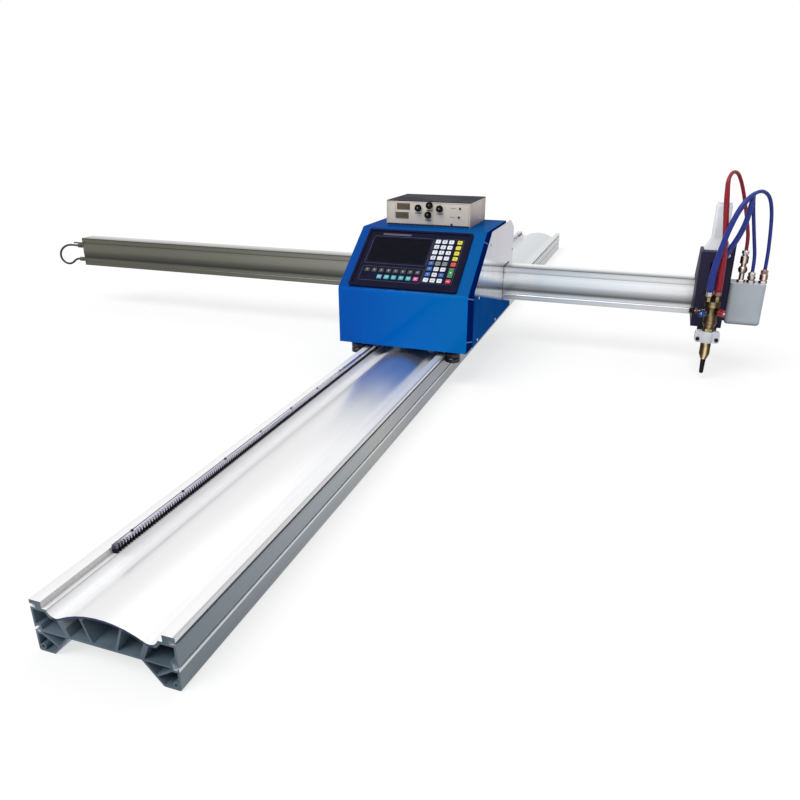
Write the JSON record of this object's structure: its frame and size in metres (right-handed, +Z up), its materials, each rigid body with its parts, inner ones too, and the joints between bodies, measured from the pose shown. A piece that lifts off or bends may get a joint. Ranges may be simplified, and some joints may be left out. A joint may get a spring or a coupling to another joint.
{
  "type": "portable cnc cutting machine",
  "caption": "Portable gantry cutter: an aluminium floor rail, a blue host that runs on it with a control panel and a height controller, a sliding cross beam and a lifted gas torch.",
  "frame": {"origin": "on the floor under the middle of the machine's box, measured without the hoses and the cable loop", "axes": "+Y along the rail away from the picture's viewer, +X across it towards the torch, +Z up"},
  "size_m": [2.5436, 3.5, 0.563],
  "materials": {
    "rail_alloy": "pale drawn aluminium with fine lengthwise lines",
    "rack_steel": "dark machined steel with brighter tooth tips",
    "screw_black": "blackened screw and bolt heads",
    "cover_blue": "glossy deep blue powder coat",
    "base_grey": "dark grey paint",
    "roller_steel": "turned steel",
    "gearbox_grey": "cast and machined aluminium",
    "motor_black": "black painted motor can",
    "supply_metal": "plain folded aluminium",
    "case_black": "near-black moulded plastic",
    "screen_dark": "dark display window",
    "key_white": "printed membrane keys in several colours",
    "thc_beige": "pale beige enamel",
    "thc_dark": "dark textured enamel",
    "thc_front": "satin silver-beige front",
    "display_red": "dark red display window",
    "knob_black": "black plastic",
    "beam_alloy": "anodised aluminium with lengthwise lines",
    "cap_dark": "dark plastic",
    "cable_black": "black rubber",
    "lifter_dark": "dark anodised aluminium",
    "motor_grey": "light grey enamel",
    "gas_grey": "grey enamel",
    "brass": "worn brass",
    "hose_red": "dark red hose",
    "hose_blue": "dark blue hose",
    "clamp_white": "white enamel",
    "bolt_steel": "plated bolts",
    "slide_alloy": "machined aluminium",
    "nozzle_dark": "blackened nozzle",
    "knob_blue": "blue plastic",
    "knob_red": "red plastic"
  },
  "bodies": {
    "rail": {"rail_extrusion": "rail_alloy", "gear_rack": "rack_steel", "rack_screws": "screw_black"},
    "carriage": {"base_plate": "base_grey", "front_cover": "cover_blue", "side_plate_left": "cover_blue", "side_plate_right": "cover_blue", "rear_cover": "cover_blue", "cover_screws": "bolt_steel", "axle_blocks": "gearbox_grey", "roller_pins": "roller_steel", "beam_saddles": "base_grey", "drive_gearboxes": "gearbox_grey", "drive_motors": "motor_black", "power_supply": "supply_metal", "controller_case": "case_black", "control_screen": "screen_dark", "keypad_keys": "key_white", "thc_case": "thc_beige", "thc_cover": "thc_dark", "thc_panel": "thc_front", "thc_displays": "display_red"},
    "beam": {"beam_extrusion": "beam_alloy", "beam_rack": "rack_steel", "beam_end_cap": "cap_dark", "cable_glands": "cap_dark", "cable_loop": "cable_black", "head_bracket": "lifter_dark", "lifter_housing": "lifter_dark", "lifter_motor": "motor_grey", "gas_box": "gas_grey", "gas_outlets": "brass", "hose_red": "hose_red", "hose_blue_outer": "hose_blue", "hose_blue_inner": "hose_blue"},
    "torch": {"lift_slide": "slide_alloy", "torch_clamp": "clamp_white", "clamp_bolts": "screw_black", "torch_body": "brass", "torch_nozzle": "nozzle_dark"},
    "front_wheel_set": {"front_wheel_set": "roller_steel"},
    "side_roller_front_left": {"side_roller_front_left": "roller_steel"},
    "side_roller_front_right": {"side_roller_front_right": "roller_steel"},
    "rear_wheel_set": {"rear_wheel_set": "roller_steel"},
    "side_roller_rear_left": {"side_roller_rear_left": "roller_steel"},
    "side_roller_rear_right": {"side_roller_rear_right": "roller_steel"},
    "rail_pinion": {"rail_pinion": "rack_steel"},
    "beam_pinion": {"beam_pinion": "rack_steel"},
    "beam_roller_lower_left": {"beam_roller_lower_left": "roller_steel"},
    "beam_roller_lower_right": {"beam_roller_lower_right": "roller_steel"},
    "beam_roller_upper_left": {"beam_roller_upper_left": "roller_steel"},
    "beam_roller_upper_right": {"beam_roller_upper_right": "roller_steel"},
    "lead_screw": {"lead_screw": "roller_steel"},
    "thc_knob_1": {"thc_knob_1": "knob_black"},
    "thc_knob_2": {"thc_knob_2": "knob_black"},
    "thc_knob_3": {"thc_knob_3": "knob_black"},
    "thc_knob_4": {"thc_knob_4": "knob_black"},
    "valve_knob_blue": {"valve_knob_blue": "knob_blue"},
    "valve_knob_red": {"valve_knob_red": "knob_red"},
    "valve_knob_black": {"valve_knob_black": "knob_black"}
  },
  "joints": [
    {"name": "carriage_travel", "type": "slide", "parent": "rail", "child": "carriage", "axis": [0, 1, 0], "range_m": [-1.15, 1.72]},
    {"name": "beam_travel", "type": "slide", "parent": "carriage", "child": "beam", "axis": [1, 0, 0], "range_m": [-0.53, 0.95]},
    {"name": "torch_lift", "type": "slide", "parent": "beam", "child": "torch", "axis": [0, 0, 1], "range_m": [-0.015, 0.085], "deforming": ["hose_red", "hose_blue_outer", "hose_blue_inner"]},
    {"name": "front_wheels_spin", "type": "hinge", "parent": "carriage", "child": "front_wheel_set", "pos_m": [0.299, -0.535, 0.0993], "axis": [1, 0, 0], "continuous": true},
    {"name": "side_roller_front_left_spin", "type": "hinge", "parent": "carriage", "child": "side_roller_front_left", "pos_m": [0.1602, -0.535, 0.08], "axis": [0, 0, 1], "continuous": true},
    {"name": "side_roller_front_right_spin", "type": "hinge", "parent": "carriage", "child": "side_roller_front_right", "pos_m": [0.4378, -0.535, 0.08], "axis": [0, 0, 1], "continuous": true},
    {"name": "rear_wheels_spin", "type": "hinge", "parent": "carriage", "child": "rear_wheel_set", "pos_m": [0.299, -0.027, 0.0993], "axis": [1, 0, 0], "continuous": true},
    {"name": "side_roller_rear_left_spin", "type": "hinge", "parent": "carriage", "child": "side_roller_rear_left", "pos_m": [0.1602, -0.027, 0.08], "axis": [0, 0, 1], "continuous": true},
    {"name": "side_roller_rear_right_spin", "type": "hinge", "parent": "carriage", "child": "side_roller_rear_right", "pos_m": [0.4378, -0.027, 0.08], "axis": [0, 0, 1], "continuous": true},
    {"name": "rail_pinion_spin", "type": "hinge", "parent": "carriage", "child": "rail_pinion", "pos_m": [0.2341, -0.33, 0.084], "axis": [0, 0, 1], "continuous": true},
    {"name": "beam_pinion_spin", "type": "hinge", "parent": "carriage", "child": "beam_pinion", "pos_m": [0.299, -0.0274, 0.192], "axis": [0, 0, 1], "continuous": true},
    {"name": "beam_roller_lower_left_spin", "type": "hinge", "parent": "carriage", "child": "beam_roller_lower_left", "pos_m": [0.149, -0.093, 0.1357], "axis": [0, 1, 0], "continuous": true},
    {"name": "beam_roller_lower_right_spin", "type": "hinge", "parent": "carriage", "child": "beam_roller_lower_right", "pos_m": [0.449, -0.093, 0.1357], "axis": [0, 1, 0], "continuous": true},
    {"name": "beam_roller_upper_left_spin", "type": "hinge", "parent": "carriage", "child": "beam_roller_upper_left", "pos_m": [0.149, -0.093, 0.2713], "axis": [0, 1, 0], "continuous": true},
    {"name": "beam_roller_upper_right_spin", "type": "hinge", "parent": "carriage", "child": "beam_roller_upper_right", "pos_m": [0.449, -0.093, 0.2713], "axis": [0, 1, 0], "continuous": true},
    {"name": "lead_screw_spin", "type": "hinge", "parent": "beam", "child": "lead_screw", "pos_m": [1.088, -0.162, 0.24], "axis": [0, 0, 1], "continuous": true},
    {"name": "thc_knob_1_turn", "type": "hinge", "parent": "carriage", "child": "thc_knob_1", "pos_m": [0.263, -0.317, 0.4455], "axis": [0, -1, 0], "range_deg": [-150, 150]},
    {"name": "thc_knob_2_turn", "type": "hinge", "parent": "carriage", "child": "thc_knob_2", "pos_m": [0.297, -0.317, 0.454], "axis": [0, -1, 0], "range_deg": [-150, 150]},
    {"name": "thc_knob_3_turn", "type": "hinge", "parent": "carriage", "child": "thc_knob_3", "pos_m": [0.3275, -0.317, 0.4455], "axis": [0, -1, 0], "range_deg": [-150, 150]},
    {"name": "thc_knob_4_turn", "type": "hinge", "parent": "carriage", "child": "thc_knob_4", "pos_m": [0.293, -0.317, 0.427], "axis": [0, -1, 0], "range_deg": [-150, 150]},
    {"name": "valve_knob_blue_turn", "type": "hinge", "parent": "torch", "child": "valve_knob_blue", "pos_m": [1.09, -0.26, 0.196], "axis": [-0.6157, -0.788, 0], "range_deg": [0, 720]},
    {"name": "valve_knob_red_turn", "type": "hinge", "parent": "torch", "child": "valve_knob_red", "pos_m": [1.09, -0.26, 0.199], "axis": [0.7193, -0.6947, 0], "range_deg": [0, 720]},
    {"name": "valve_knob_black_turn", "type": "hinge", "parent": "torch", "child": "valve_knob_black", "pos_m": [1.09, -0.26, 0.195], "axis": [-1, 0, 0], "range_deg": [0, 720]}
  ],
  "couplings": [
    {"joint": "front_wheels_spin", "follows": "carriage_travel", "rad_per_m": -76.923},
    {"joint": "side_roller_front_left_spin", "follows": "carriage_travel", "rad_per_m": -47.619},
    {"joint": "side_roller_front_right_spin", "follows": "carriage_travel", "rad_per_m": 47.619},
    {"joint": "rear_wheels_spin", "follows": "carriage_travel", "rad_per_m": -76.923},
    {"joint": "side_roller_rear_left_spin", "follows": "carriage_travel", "rad_per_m": -47.619},
    {"joint": "side_roller_rear_right_spin", "follows": "carriage_travel", "rad_per_m": 47.619},
    {"joint": "rail_pinion_spin", "follows": "carriage_travel", "rad_per_m": 40},
    {"joint": "beam_pinion_spin", "follows": "beam_travel", "rad_per_m": 40},
    {"joint": "beam_roller_lower_left_spin", "follows": "beam_travel", "rad_per_m": 62.5},
    {"joint": "beam_roller_lower_right_spin", "follows": "beam_travel", "rad_per_m": 62.5},
    {"joint": "beam_roller_upper_left_spin", "follows": "beam_travel", "rad_per_m": -62.5},
    {"joint": "beam_roller_upper_right_spin", "follows": "beam_travel", "rad_per_m": -62.5},
    {"joint": "lead_screw_spin", "follows": "torch_lift", "rad_per_m": -628.32}
  ]
}
